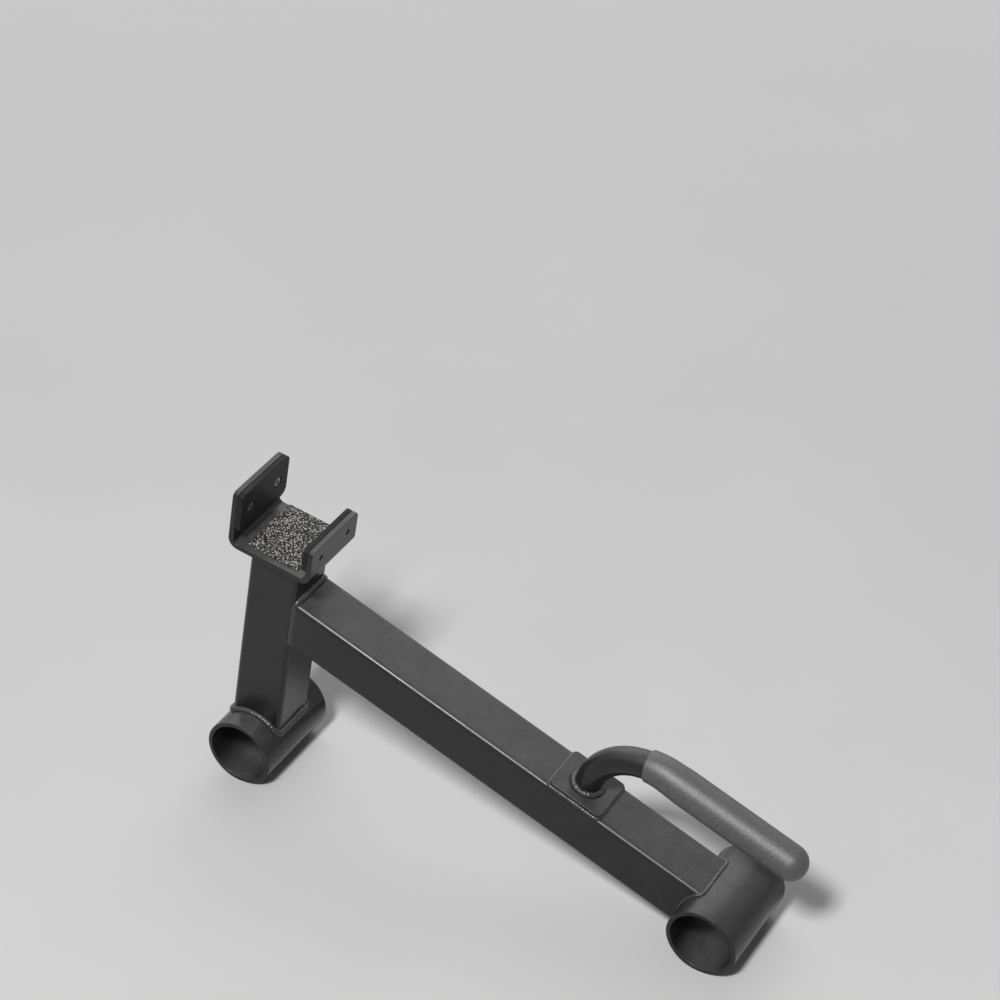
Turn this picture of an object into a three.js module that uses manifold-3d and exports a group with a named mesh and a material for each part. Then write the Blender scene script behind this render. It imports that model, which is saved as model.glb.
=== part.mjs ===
// Deadlift jack: a welded steel lever jack that holds a loaded bar off the floor.
// Millimetres, +Z up. +X points from the front foot to the rear foot, +Y lies along the bar.
// The origin is on the floor, below the middle of the jack.

import * as THREE from "three";
import { mergeVertices } from "three/addons/utils/BufferGeometryUtils.js";
import Module from "manifold-3d";

const wasm = await Module();
wasm.setup();

// Room left between pieces that touch, for paint, glue and rounding
const clearance = 0.3;
// How far a cutting body runs past what it cuts
const overrun = 10;

// Round feet
const footDiameter = 66;
const footWall = 4;
const footLength = 94;
const footRimBevel = 0.8;
const footSpacing = 469;

// Square tube of the post and the arm
const tubeSide = 50;
const tubeWall = 3;
const tubeCornerRadius = 5;

// Post: its height is measured along it, from the front foot's axis. The arm meets it below its top
const postLean = THREE.MathUtils.degToRad(9.2);
const postHeight = 225;
const armDrop = 65;

// Cradle bracket, bent from plate
const cradleWidth = 84;
const cradleLength = 72;
const cradlePlate = 5;
const cradleBendRadius = 5;
const tallFlangeHeight = 60.5;
const shortFlangeHeight = 37.5;
const flangeCornerRadius = 5;

// Pads inside the two flanges, and how far each stays above the seat
const linerThickness = 5;
const linerLowerRadius = 8;
const tallLinerLift = 12;
const shortLinerLift = 5.3;

// Screws that hold the pads: their heads lie in pockets, their shanks in the flange
const screwFromEnd = 15.25;
const screwHeadDiameter = 9;
const screwHeadHeight = 2.6;
const screwHeadEdge = 0.5;
const screwHeadRecess = 0.6;
const screwPocketRoom = 0.8;
const screwShankDiameter = 5;
const screwEndRecess = 0.8;
const screwSocketDiameter = 4.6;
const screwSocketDepth = 1.5;

// Rough strip on the seat, flush with the bracket's far end
const stripWidth = 52;
const stripNearMargin = 6;
const stripThickness = 1;
const stripCornerRadius = 2;

// Plate under the handle, its distance up the arm from the rear foot's axis
const handlePlateDistance = 156;
const handlePlateLength = 53;
const handlePlateWidth = 47;
const handlePlateThickness = 4;
const handlePlateCornerRadius = 4;

// Bent handle tube and its sleeve, which widens from its open end. The height is that of the grip's
// axis above the arm's top
const handleTubeDiameter = 25;
const handleTubeWall = 2.5;
const handleHeight = 71.5;
const handleBendRadius = 58;
const gripDiameter = 32;
const gripStartDiameter = 28.5;
const gripTaper = 35;
const gripReach = 195.5;
const gripOnBend = 20;
const gripEndWall = 12;

// Weld beads: the radius of the bead that runs along each seam
const postFootBeadRadius = 4.5;
const armFootBeadRadius = 3;
const armBeadRadius = 4;
const armBeadInset = 3;
const cradleBeadRadius = 3.5;
const plateBeadRadius = 2.4;
const handleBeadRadius = 4;

// Facets
const footFacets = 56;
const handleFacets = 24;
const screwFacets = 20;
const hexSides = 6;
const cornerSteps = 4;
const bendSteps = 6;
const handleSteps = 16;
const domeSteps = 6;
const beadSides = 8;
const beadStations = 56;

// Worked out from the sizes above
const footRadius = footDiameter / 2;
const tubeHalf = tubeSide / 2;
const handleTubeRadius = handleTubeDiameter / 2;
const gripRadius = gripDiameter / 2;
const gripStartRadius = gripStartDiameter / 2;
const quarterTurn = Math.PI / 2;
const armJoinHeight = postHeight - armDrop;
const armJoint = new THREE.Vector2(tubeHalf, armJoinHeight).rotateAround(new THREE.Vector2(), -postLean);
const armLength = Math.hypot(footSpacing - armJoint.x, armJoint.y);
const armSlope = Math.atan2(armJoint.y, footSpacing - armJoint.x);
const screwSpacing = cradleLength - 2 * screwFromEnd;
const stripLength = cradleLength - stripNearMargin;
const handleStart = clearance + handlePlateThickness + clearance;
const handleRise = handleHeight - handleStart - handleBendRadius;
const handleBendLength = handleBendRadius * quarterTurn;
const gripStraight = gripReach - handleBendRadius - gripRadius;
const handleTubeEnd = handleRise + handleBendLength + gripStraight + gripRadius - gripEndWall;

const steelBlack = new THREE.MeshStandardMaterial({ color: 0x2c2c2e, roughness: 0.55, metalness: 0.3 });
const linerBlack = new THREE.MeshStandardMaterial({ color: 0x1d1d1f, roughness: 0.5, metalness: 0 });
const gritBlack = new THREE.MeshStandardMaterial({ color: 0x3a3a3c, roughness: 0.95, metalness: 0 });
const gripBlack = new THREE.MeshStandardMaterial({ color: 0x262628, roughness: 0.8, metalness: 0 });
const screwSteel = new THREE.MeshStandardMaterial({ color: 0x6a6a6e, roughness: 0.4, metalness: 0.9 });

function toSolid(geometry) {
  const bare = geometry.clone();
  bare.deleteAttribute("normal");
  bare.deleteAttribute("uv");
  const merged = mergeVertices(bare);
  const triangles = [];
  for (let i = 0; i < merged.index.count; i += 3) {
    const [a, b, c] = [0, 1, 2].map((corner) => merged.index.getX(i + corner));
    if (a !== b && b !== c && c !== a) triangles.push(a, b, c);
  }
  const vertProperties = Float32Array.from(merged.attributes.position.array);
  const triVerts = Uint32Array.from(triangles);
  return new wasm.Manifold(new wasm.Mesh({ numProp: 3, vertProperties, triVerts }));
}

function toMesh(name, solid, material) {
  const { vertProperties, triVerts } = solid.getMesh();
  const geometry = new THREE.BufferGeometry();
  geometry.setAttribute("position", new THREE.BufferAttribute(vertProperties, 3));
  geometry.setIndex(new THREE.BufferAttribute(triVerts, 1));
  geometry.computeVertexNormals();
  const mesh = new THREE.Mesh(geometry, material);
  mesh.name = name;
  return mesh;
}

// A rectangle about the origin, with rounded corners
function roundedOutline(width, height, lowerRadius, upperRadius = lowerRadius) {
  const right = width / 2;
  const top = height / 2;
  const outline = new THREE.Shape();
  outline.moveTo(lowerRadius - right, -top);
  outline.lineTo(right - lowerRadius, -top);
  outline.absarc(right - lowerRadius, lowerRadius - top, lowerRadius, -quarterTurn, 0);
  outline.lineTo(right, top - upperRadius);
  outline.absarc(right - upperRadius, top - upperRadius, upperRadius, 0, quarterTurn);
  outline.lineTo(upperRadius - right, top);
  outline.absarc(upperRadius - right, top - upperRadius, upperRadius, quarterTurn, Math.PI);
  outline.lineTo(-right, lowerRadius - top);
  outline.absarc(lowerRadius - right, lowerRadius - top, lowerRadius, Math.PI, 3 * quarterTurn);
  return outline;
}

function extrude(outline, depth, curveSegments = cornerSteps) {
  return new THREE.ExtrudeGeometry(outline, { depth, bevelEnabled: false, curveSegments });
}

// A bar of the square tube's outline, grown by the clearance, for cutting what lies against the tube
function squareBlank(length) {
  const side = tubeSide + 2 * clearance;
  return extrude(roundedOutline(side, side, tubeCornerRadius + clearance), length);
}

function footBlank() {
  const radius = footRadius + clearance;
  return toSolid(new THREE.CylinderGeometry(radius, radius, footLength, footFacets));
}

// Turns what was built along +Z to lie along -X, as the arm does
function alongArm(geometry) {
  return geometry.rotateY(-quarterTurn);
}

// Stands an outline across X, its width along Y and its height along Z
function acrossX(geometry) {
  return geometry.rotateX(quarterTurn).rotateZ(quarterTurn);
}

// A round bar along X, centred on a point of a flange or a pad
function crossHole(radius, length, x, y, z) {
  const bar = new THREE.CylinderGeometry(radius, radius, length, screwFacets);
  return toSolid(bar.rotateZ(quarterTurn).translate(x, y, z));
}

// Round foot: an open tube along Y, its rims slightly bevelled
function footTube() {
  const inner = footRadius - footWall;
  const end = footLength / 2;
  const profile = [
    [inner, -end],
    [footRadius - footRimBevel, -end],
    [footRadius, footRimBevel - end],
    [footRadius, end - footRimBevel],
    [footRadius - footRimBevel, end],
    [inner, end],
    [inner, -end],
  ].map(([x, y]) => new THREE.Vector2(x, y));
  return toSolid(new THREE.LatheGeometry(profile, footFacets));
}

function squareTube(length) {
  const outline = roundedOutline(tubeSide, tubeSide, tubeCornerRadius);
  const bore = tubeSide - 2 * tubeWall;
  outline.holes.push(roundedOutline(bore, bore, tubeCornerRadius - tubeWall));
  return extrude(outline, length);
}

// The post rises from the front foot's axis, its lower end cut round to sit on the foot
function postTube() {
  return toSolid(squareTube(postHeight)).subtract(footBlank());
}

// The arm runs up from the rear foot's axis along -X, its far end cut to the leaning post's flat face
function armTube() {
  const beyondPost = new THREE.BoxGeometry(tubeSide, 2 * tubeSide, 2 * tubeSide)
    .translate(clearance - tubeHalf, 0, 0)
    .rotateY(postLean - armSlope)
    .translate(-armLength, 0, 0);
  return toSolid(alongArm(squareTube(armLength + tubeHalf)))
    .subtract(footBlank())
    .subtract(toSolid(beyondPost));
}

// A line that runs once round an outline, raised from the outline's plane by a function of the place
class SeamLine extends THREE.Curve {
  constructor(outline, rise = () => 0) {
    super();
    this.outline = outline;
    this.rise = rise;
  }

  getPoint(t, target = new THREE.Vector3()) {
    const place = this.outline.getPointAt(t % 1);
    return target.set(place.x, place.y, this.rise(place));
  }
}

function bead(outline, radius, rise) {
  return new THREE.TubeGeometry(new SeamLine(outline, rise), beadStations, radius, beadSides, true);
}

// The seam where the square tube, standing along +Z, meets the round foot
function footBead(radius) {
  const outline = roundedOutline(tubeSide, tubeSide, tubeCornerRadius);
  return bead(outline, radius, (place) => Math.sqrt(footRadius ** 2 - place.x ** 2));
}

function postFootBead() {
  return toSolid(footBead(postFootBeadRadius))
    .subtract(footBlank())
    .subtract(toSolid(squareBlank(postHeight)));
}

function armFootBead() {
  return toSolid(alongArm(footBead(armFootBeadRadius)))
    .subtract(footBlank())
    .subtract(toSolid(alongArm(squareBlank(armLength))));
}

// Round the arm's upper end: in the side grooves, beside the post's rounded edges, the bead lies inset
function armPostBead() {
  const tilt = armSlope - postLean;
  const width = tubeSide - 2 * armBeadInset;
  const outline = roundedOutline(width, tubeSide / Math.cos(tilt), tubeCornerRadius);
  const arm = squareBlank(2 * tubeSide).translate(0, 0, -tubeHalf).rotateY(quarterTurn).rotateY(tilt);
  return toSolid(acrossX(bead(outline, armBeadRadius)).translate(tubeHalf, 0, armJoinHeight))
    .subtract(toSolid(arm.translate(tubeHalf, 0, armJoinHeight)))
    .subtract(toSolid(squareBlank(postHeight)));
}

// Under the cradle, round the post's top
function cradleBead() {
  const above = new THREE.BoxGeometry(cradleWidth, cradleLength, overrun).translate(0, 0, overrun / 2);
  return toSolid(bead(roundedOutline(tubeSide, tubeSide, tubeCornerRadius), cradleBeadRadius))
    .subtract(toSolid(squareBlank(overrun).translate(0, 0, -overrun)))
    .subtract(toSolid(above));
}

// The heights of a pad's middle above the bracket's underside, and of the pad itself
function linerMiddle(flangeHeight, lift) {
  return (cradlePlate + lift + flangeHeight) / 2;
}

function linerHeight(flangeHeight, lift) {
  return flangeHeight - cradlePlate - lift;
}

// One flange's side of the bracket, seen along X, with its two upper corners rounded
function flangeSide(height, x) {
  const outline = roundedOutline(cradleLength, height + overrun, flangeCornerRadius);
  return toSolid(acrossX(extrude(outline, cradleWidth / 2)).translate(x, 0, (height - overrun) / 2));
}

// Bent plate: a tall flange on the -X side, a short one on the +X side, the post's top under its base
function cradleBracket() {
  const side = cradleWidth / 2;
  const outerRadius = cradleBendRadius + cradlePlate;
  const bend = side - outerRadius;
  const profile = new THREE.Shape();
  profile.moveTo(-side, tallFlangeHeight);
  profile.lineTo(-side, outerRadius);
  profile.absarc(-bend, outerRadius, outerRadius, Math.PI, 3 * quarterTurn);
  profile.lineTo(bend, 0);
  profile.absarc(bend, outerRadius, outerRadius, -quarterTurn, 0);
  profile.lineTo(side, shortFlangeHeight);
  profile.lineTo(side - cradlePlate, shortFlangeHeight);
  profile.lineTo(side - cradlePlate, outerRadius);
  profile.absarc(bend, outerRadius, cradleBendRadius, 0, -quarterTurn, true);
  profile.lineTo(-bend, cradlePlate);
  profile.absarc(-bend, outerRadius, cradleBendRadius, -quarterTurn, -Math.PI, true);
  profile.lineTo(cradlePlate - side, tallFlangeHeight);
  const sides = flangeSide(tallFlangeHeight, -side).add(flangeSide(shortFlangeHeight, 0));
  const bent = extrude(profile, cradleLength, bendSteps).rotateX(quarterTurn);
  let bracket = toSolid(bent.translate(0, cradleLength / 2, 0)).intersect(sides);
  const radius = screwShankDiameter / 2 + clearance;
  for (const y of [-screwSpacing / 2, screwSpacing / 2]) {
    const tallMiddle = linerMiddle(tallFlangeHeight, tallLinerLift);
    const shortMiddle = linerMiddle(shortFlangeHeight, shortLinerLift);
    bracket = bracket
      .subtract(crossHole(radius, 2 * overrun, -side, y, tallMiddle))
      .subtract(crossHole(radius, 2 * overrun, side, y, shortMiddle));
  }
  return bracket;
}

// Pad with its back at X = 0 and its face to the bar at +X, with pockets for the screw heads
function liner(height) {
  const outline = roundedOutline(cradleLength, height, linerLowerRadius, flangeCornerRadius);
  const pocketRadius = screwHeadDiameter / 2 + screwPocketRoom;
  const pocketFloor = linerThickness - screwHeadRecess - screwHeadHeight - clearance;
  let pad = toSolid(acrossX(extrude(outline, linerThickness)));
  for (const y of [-screwSpacing / 2, screwSpacing / 2]) {
    pad = pad
      .subtract(crossHole(pocketRadius, overrun, pocketFloor + overrun / 2, y, 0))
      .subtract(crossHole(screwShankDiameter / 2 + clearance, 2 * overrun, 0, y, 0));
  }
  return pad;
}

// Flat-headed screw along X, in the pad's frame, with a hexagon socket
function linerScrew() {
  const top = linerThickness - screwHeadRecess;
  const seat = top - screwHeadHeight;
  const end = screwEndRecess - cradlePlate - clearance;
  const head = screwHeadDiameter / 2;
  const shank = screwShankDiameter / 2;
  const profile = [
    [0, end],
    [shank, end],
    [shank, seat],
    [head, seat],
    [head, top - screwHeadEdge],
    [head - screwHeadEdge, top],
    [0, top],
  ].map(([x, y]) => new THREE.Vector2(x, y));
  const socketRadius = screwSocketDiameter / 2;
  const socket = new THREE.CylinderGeometry(socketRadius, socketRadius, 2 * screwSocketDepth, hexSides);
  return toSolid(new THREE.LatheGeometry(profile, screwFacets).rotateZ(-quarterTurn))
    .subtract(toSolid(socket.rotateZ(quarterTurn).translate(top, 0, 0)));
}

function gripStrip() {
  return toSolid(extrude(roundedOutline(stripWidth, stripLength, stripCornerRadius), stripThickness));
}

function handlePlate() {
  const outline = roundedOutline(handlePlateLength, handlePlateWidth, handlePlateCornerRadius);
  return toSolid(extrude(outline, handlePlateThickness));
}

// Bends what was built straight up to the handle's line: up, a quarter turn, then along +X
function bentToHandle(geometry) {
  const positions = geometry.attributes.position;
  const place = new THREE.Vector3();
  for (let i = 0; i < positions.count; i += 1) {
    place.fromBufferAttribute(positions, i);
    const turned = THREE.MathUtils.clamp((place.z - handleRise) / handleBendRadius, 0, quarterTurn);
    const before = Math.min(place.z, handleRise);
    const after = Math.max(place.z - handleRise - handleBendLength, 0);
    const fromBendAxis = handleBendRadius - place.x;
    const out = handleBendRadius - fromBendAxis * Math.cos(turned) + after;
    positions.setXYZ(i, out, place.y, before + fromBendAxis * Math.sin(turned));
  }
  return geometry;
}

// One wall of a round part on the handle's line, as [radius, distance] pairs, with rings along the bend
function wall(from, to, startRadius, endRadius = startRadius) {
  const bend = Array.from({ length: handleSteps + 1 }, (_, step) => {
    return handleRise + (handleBendLength * step) / handleSteps;
  });
  const between = bend.filter((distance) => distance > from && distance < to);
  return [from, ...between, to].map((distance) => {
    return [THREE.MathUtils.mapLinear(distance, from, to, startRadius, endRadius), distance];
  });
}

function turnedOnHandle(profile) {
  const points = profile.map(([radius, distance]) => new THREE.Vector2(radius, distance));
  return toSolid(bentToHandle(new THREE.LatheGeometry(points, handleFacets).rotateX(quarterTurn)));
}

function handleTube() {
  const outer = wall(0, handleTubeEnd, handleTubeRadius);
  const bore = wall(0, handleTubeEnd, handleTubeRadius - handleTubeWall).reverse();
  return turnedOnHandle([...outer, ...bore, outer[0]]);
}

// Sleeve with a round closed end; its first stretch follows the end of the bend and widens
function handleGrip() {
  const start = handleRise + handleBendLength - gripOnBend;
  const domeStart = handleRise + handleBendLength + gripStraight;
  const outer = wall(start, start + gripTaper, gripStartRadius, gripRadius);
  const dome = Array.from({ length: domeSteps + 1 }, (_, step) => {
    const angle = (quarterTurn * step) / domeSteps;
    return [gripRadius * Math.cos(angle), domeStart + gripRadius * Math.sin(angle)];
  });
  const boreEnd = handleTubeEnd + clearance;
  const bore = wall(start, boreEnd, handleTubeRadius + clearance).reverse();
  return turnedOnHandle([...outer, ...dome, [0, boreEnd], ...bore, outer[0]]);
}

// Round the plate's lower edge, on the arm's top and over its rounded edges
function handlePlateBead() {
  const outline = roundedOutline(handlePlateLength, handlePlateWidth, handlePlateCornerRadius);
  const length = handlePlateLength + 2 * clearance;
  const width = handlePlateWidth + 2 * clearance;
  const plate = extrude(roundedOutline(length, width, handlePlateCornerRadius + clearance), 2 * overrun);
  const arm = alongArm(squareBlank(2 * handlePlateLength)).translate(handlePlateLength, 0, -tubeHalf);
  return toSolid(bead(outline, plateBeadRadius))
    .subtract(toSolid(plate.translate(0, 0, -overrun)))
    .subtract(toSolid(arm));
}

function handleTubeBead() {
  const radius = handleTubeRadius + clearance;
  const tube = new THREE.CylinderGeometry(radius, radius, 2 * overrun, handleFacets).rotateX(quarterTurn);
  const plate = new THREE.BoxGeometry(handlePlateLength, handlePlateWidth, overrun);
  const seam = new THREE.Shape().absarc(0, 0, handleTubeRadius, 0, 2 * Math.PI);
  return toSolid(bead(seam, handleBeadRadius))
    .subtract(toSolid(tube))
    .subtract(toSolid(plate.translate(0, 0, clearance - overrun / 2)));
}

function group(parent, x, y, z) {
  const inner = new THREE.Group();
  inner.position.set(x, y, z);
  parent.add(inner);
  return inner;
}

function addPiece(parent, name, solid, material, x = 0, y = 0, z = 0) {
  const mesh = toMesh(name, solid, material);
  mesh.position.set(x, y, z);
  parent.add(mesh);
}

function addFeet(jack) {
  addPiece(jack, "front_foot", footTube(), steelBlack, 0, 0, footRadius);
  addPiece(jack, "rear_foot", footTube(), steelBlack, footSpacing, 0, footRadius);
}

// A pad with its two screws; the short flange's pad is turned half round
function addLiner(bracket, size, flangeHeight, lift, turn) {
  const side = Math.cos(turn) * (cradlePlate + clearance - cradleWidth / 2);
  const pad = group(bracket, side, 0, linerMiddle(flangeHeight, lift));
  pad.rotation.z = turn;
  addPiece(pad, `cradle_liner_${size}`, liner(linerHeight(flangeHeight, lift)), linerBlack);
  addPiece(pad, `liner_screw_${size}_1`, linerScrew(), screwSteel, 0, -screwSpacing / 2);
  addPiece(pad, `liner_screw_${size}_2`, linerScrew(), screwSteel, 0, screwSpacing / 2);
}

function addPost(jack) {
  const post = group(jack, 0, 0, footRadius);
  post.rotation.y = postLean;
  addPiece(post, "post", postTube(), steelBlack);
  addPiece(post, "weld_post_foot", postFootBead(), steelBlack);
  addPiece(post, "weld_arm_post", armPostBead(), steelBlack);
  addPiece(post, "weld_cradle_post", cradleBead(), steelBlack, 0, 0, postHeight);
  const bracket = group(post, 0, 0, postHeight + clearance);
  addPiece(bracket, "cradle_bracket", cradleBracket(), steelBlack);
  addLiner(bracket, "tall", tallFlangeHeight, tallLinerLift, 0);
  addLiner(bracket, "short", shortFlangeHeight, shortLinerLift, Math.PI);
  const seat = group(bracket, 0, stripNearMargin / 2, cradlePlate + clearance);
  addPiece(seat, "seat_grip_strip", gripStrip(), gritBlack);
}

function addArm(jack) {
  const arm = group(jack, footSpacing, 0, footRadius);
  arm.rotation.y = armSlope;
  addPiece(arm, "arm", armTube(), steelBlack);
  addPiece(arm, "weld_arm_foot", armFootBead(), steelBlack);
  const handle = group(arm, -handlePlateDistance, 0, tubeHalf);
  const plateTop = clearance + handlePlateThickness;
  addPiece(handle, "handle_plate", handlePlate(), steelBlack, 0, 0, clearance);
  addPiece(handle, "weld_handle_plate", handlePlateBead(), steelBlack);
  addPiece(handle, "handle_tube", handleTube(), steelBlack, 0, 0, handleStart);
  addPiece(handle, "weld_handle_tube", handleTubeBead(), steelBlack, 0, 0, plateTop);
  addPiece(handle, "handle_grip", handleGrip(), gripBlack, 0, 0, handleStart);
}

const jack = new THREE.Group();
addFeet(jack);
addPost(jack);
addArm(jack);

// Bring the middle of the jack's length to X = 0
const reach = new THREE.Box3().setFromObject(jack, true);
jack.position.x = -(reach.min.x + reach.max.x) / 2;

export default jack;
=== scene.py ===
"""Looks of a deadlift jack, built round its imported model: pieces, finishes, floor, light and camera."""

import logging
import math
import random
from collections.abc import Callable, Iterator
from contextlib import contextmanager
from dataclasses import dataclass
from enum import Enum

import bmesh
import bpy
from bpy.types import Material, Node, NodeOutputs, NodeSocket, NodeTree, Object
from mathutils import Matrix, Vector


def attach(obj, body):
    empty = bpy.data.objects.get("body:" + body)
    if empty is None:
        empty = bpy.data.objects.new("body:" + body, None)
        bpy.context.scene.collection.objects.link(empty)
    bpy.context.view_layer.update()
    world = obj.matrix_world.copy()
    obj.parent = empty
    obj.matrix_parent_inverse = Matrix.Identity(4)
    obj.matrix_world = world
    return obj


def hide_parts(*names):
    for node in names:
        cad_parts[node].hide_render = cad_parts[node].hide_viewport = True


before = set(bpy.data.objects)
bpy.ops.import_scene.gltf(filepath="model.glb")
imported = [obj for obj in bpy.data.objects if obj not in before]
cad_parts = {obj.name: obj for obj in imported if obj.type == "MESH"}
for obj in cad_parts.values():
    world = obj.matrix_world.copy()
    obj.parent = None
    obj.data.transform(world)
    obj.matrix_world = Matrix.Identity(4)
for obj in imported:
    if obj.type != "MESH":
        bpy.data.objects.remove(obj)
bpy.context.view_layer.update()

log = logging.getLogger("deadlift_jack")

Pair = tuple[float, float]
Triple = tuple[float, float, float]
Colour = tuple[float, float, float, float]

# The colour, the roughness and the height that a finish's layers give
Layers = tuple[NodeSocket, NodeSocket, NodeSocket]

MM = 0.001
BODY = "root"
QUARTER_TURN = math.pi / 2
X_AXIS, Y_AXIS, Z_AXIS = range(3)
ALONG_X = (0, QUARTER_TURN, 0)
ALONG_Y = (QUARTER_TURN, 0, 0)

# Settings of the modelling helpers
ALIGNED = 0.999
MERGE_DISTANCE = 0.01 * MM
CORNER_STEPS = 8
SOFT_STEPS = 3
SHARP_ANGLE = math.radians(50)
SMOOTH_ANGLE = math.radians(35)

# Sizes that more than one piece takes from, the same as in the solids
CLEARANCE = 0.3 * MM
FOOT_RADIUS = 33 * MM
FOOT_SPACING = 469 * MM
FRONT_FOOT_X = -253.644 * MM
TUBE_SIDE = 50 * MM
TUBE_CORNER = 5 * MM
POST_HEIGHT = 225 * MM
POST_LEAN = math.radians(9.2)
ARM_JOIN_HEIGHT = 160 * MM
ARM_LENGTH = 446.14 * MM
ARM_SLOPE = math.radians(20.185)
HANDLE_DISTANCE = 156 * MM


def placed(x: float, z: float, turn: float = 0.0) -> Matrix:
    """Returns the place of a frame at (x, 0, z), turned about Y."""
    return Matrix.Translation((x, 0, z)) @ Matrix.Rotation(turn, 4, "Y")


POST_FRAME = placed(FRONT_FOOT_X, FOOT_RADIUS, POST_LEAN)
ARM_FRAME = placed(FRONT_FOOT_X + FOOT_SPACING, FOOT_RADIUS, ARM_SLOPE)
CRADLE_FRAME = POST_FRAME @ placed(0, POST_HEIGHT + CLEARANCE)
HANDLE_FRAME = ARM_FRAME @ placed(-HANDLE_DISTANCE, TUBE_SIDE / 2)
ALONG_ARM = Matrix.Rotation(-QUARTER_TURN, 4, "Y")


class Pick(Enum):
    """What is picked in edit mode: the mode's name and the mesh's list of such items."""

    VERTS = ("VERT", "verts")
    EDGES = ("EDGE", "edges")
    FACES = ("FACE", "faces")


class Slot(Enum):
    """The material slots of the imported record."""

    COAT = "powder_coat"
    PAD = "pad"
    SCREW = "screw"
    GRIT = "grit"
    SLEEVE = "sleeve"


# Modelling


def select_only(piece: Object) -> None:
    """Makes a piece the only selected and the active object.

    Args:
        piece: The object to select.
    """
    bpy.ops.object.select_all(action="DESELECT")
    piece.select_set(True)
    bpy.context.view_layer.objects.active = piece


def move_to(piece: Object, place: Matrix) -> None:
    """Puts a piece that is modelled about the origin into its place.

    Args:
        piece: The object to move.
        place: Its frame in the row's frame, which goes into its mesh.
    """
    piece.matrix_world = place
    select_only(piece)
    bpy.ops.object.transform_apply(location=True, rotation=True, scale=True)


def add_object(name: str, data: bpy.types.ID) -> Object:
    """Puts a new object into the scene.

    Args:
        name: Its name.
        data: Its mesh, curve, lamp or camera.

    Returns:
        The new object.
    """
    made = bpy.data.objects.new(name, data)
    bpy.context.scene.collection.objects.link(made)
    return made


def add_primitive(operator: Callable[..., object], **settings: object) -> Object:
    """Adds one of Blender's primitives, with its place, turn and scale in its mesh.

    Args:
        operator: The operator that adds it.
        **settings: The operator's settings.

    Returns:
        The new object.
    """
    bpy.ops.object.select_all(action="DESELECT")
    operator(**settings)
    bpy.ops.object.transform_apply(location=True, rotation=True, scale=True)
    return bpy.context.object


def add_box(size: Triple, centre: Triple) -> Object:
    """Returns a new box of a size about a centre."""
    return add_primitive(bpy.ops.mesh.primitive_cube_add, size=1, location=centre, scale=size)


def add_rod(radius: float, length: float, sides: int, turn: Triple, centre: Triple = (0, 0, 0)) -> Object:
    """Returns a new round rod about a centre, along Z before its turn about X, Y and Z."""
    add = bpy.ops.mesh.primitive_cylinder_add
    return add_primitive(add, vertices=sides, radius=radius, depth=length, location=centre, rotation=turn)


@contextmanager
def editing(piece: Object) -> Iterator[None]:
    """Opens a piece in edit mode for as long as the block runs, with nothing selected.

    Args:
        piece: The piece to edit.
    """
    select_only(piece)
    bpy.ops.object.mode_set(mode="EDIT")
    bpy.ops.mesh.select_all(action="DESELECT")
    yield
    bpy.ops.object.mode_set(mode="OBJECT")


def pick(piece: Object, kind: Pick, wanted: Callable[[object], bool]) -> None:
    """Selects the vertices, edges or faces of the piece being edited that pass a test.

    Args:
        piece: The piece in edit mode.
        kind: What to pick.
        wanted: The test.
    """
    mode, items = kind.value
    bpy.ops.mesh.select_mode(type=mode)
    bpy.ops.mesh.select_all(action="DESELECT")
    mesh = bmesh.from_edit_mesh(piece.data)
    for item in getattr(mesh, items):
        if wanted(item):
            item.select_set(True)
    mesh.select_flush_mode()
    bmesh.update_edit_mesh(piece.data)


def extrude(shift: Triple) -> None:
    """Draws what is selected out by a shift, in edit mode."""
    bpy.ops.mesh.extrude_region_move(TRANSFORM_OT_translate={"value": shift})


def draw_round(centre: Triple, angle: float, steps: int) -> None:
    """Draws what is selected round an axis along Y, by an angle about +Y, in edit mode."""
    # The operator turns the other way round its axis
    bpy.ops.mesh.spin(steps=steps, angle=angle, center=centre, axis=(0, -1, 0))


def close_shell() -> None:
    """Merges the doubles of the piece being edited and turns its faces outwards."""
    bpy.ops.mesh.select_all(action="SELECT")
    bpy.ops.mesh.remove_doubles(threshold=MERGE_DISTANCE)
    bpy.ops.mesh.normals_make_consistent(inside=False)


def round_edges(
    piece: Object,
    axis: int,
    radius: float,
    steps: int = CORNER_STEPS,
    wanted: Callable[[bmesh.types.BMEdge], bool] = lambda edge: True,
) -> None:
    """Rounds the edges of a piece that run along an axis.

    Args:
        piece: The piece.
        axis: The axis.
        radius: The corners' radius.
        steps: How many flats each corner gets.
        wanted: Which of these edges to round, if not all.
    """

    def runs_along(edge: bmesh.types.BMEdge) -> bool:
        """Returns whether an edge lies along the axis."""
        line = edge.verts[1].co - edge.verts[0].co
        return abs(line[axis]) > ALIGNED * line.length

    with editing(piece):
        pick(piece, Pick.EDGES, lambda edge: runs_along(edge) and wanted(edge))
        bpy.ops.mesh.bevel(offset=radius, segments=steps, affect="EDGES")


def make_hollow(piece: Object, axis: int, wall: float) -> None:
    """Turns a bar into a tube that is open at both ends.

    Args:
        piece: The bar.
        axis: The axis it lies along.
        wall: The tube's wall.
    """
    with editing(piece):
        pick(piece, Pick.FACES, lambda face: abs(face.normal[axis]) > ALIGNED)
        bpy.ops.mesh.inset(thickness=wall)
        bpy.ops.mesh.bridge_edge_loops()


def apply_modifier(piece: Object, kind: str, **settings: object) -> None:
    """Adds a modifier to a piece and applies it.

    Args:
        piece: The piece.
        kind: Blender's name of the modifier's type.
        **settings: The modifier's settings.
    """
    modifier = piece.modifiers.new(kind.lower(), kind)
    for name, value in settings.items():
        setattr(modifier, name, value)
    select_only(piece)
    bpy.ops.object.modifier_apply(modifier=modifier.name)


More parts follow.
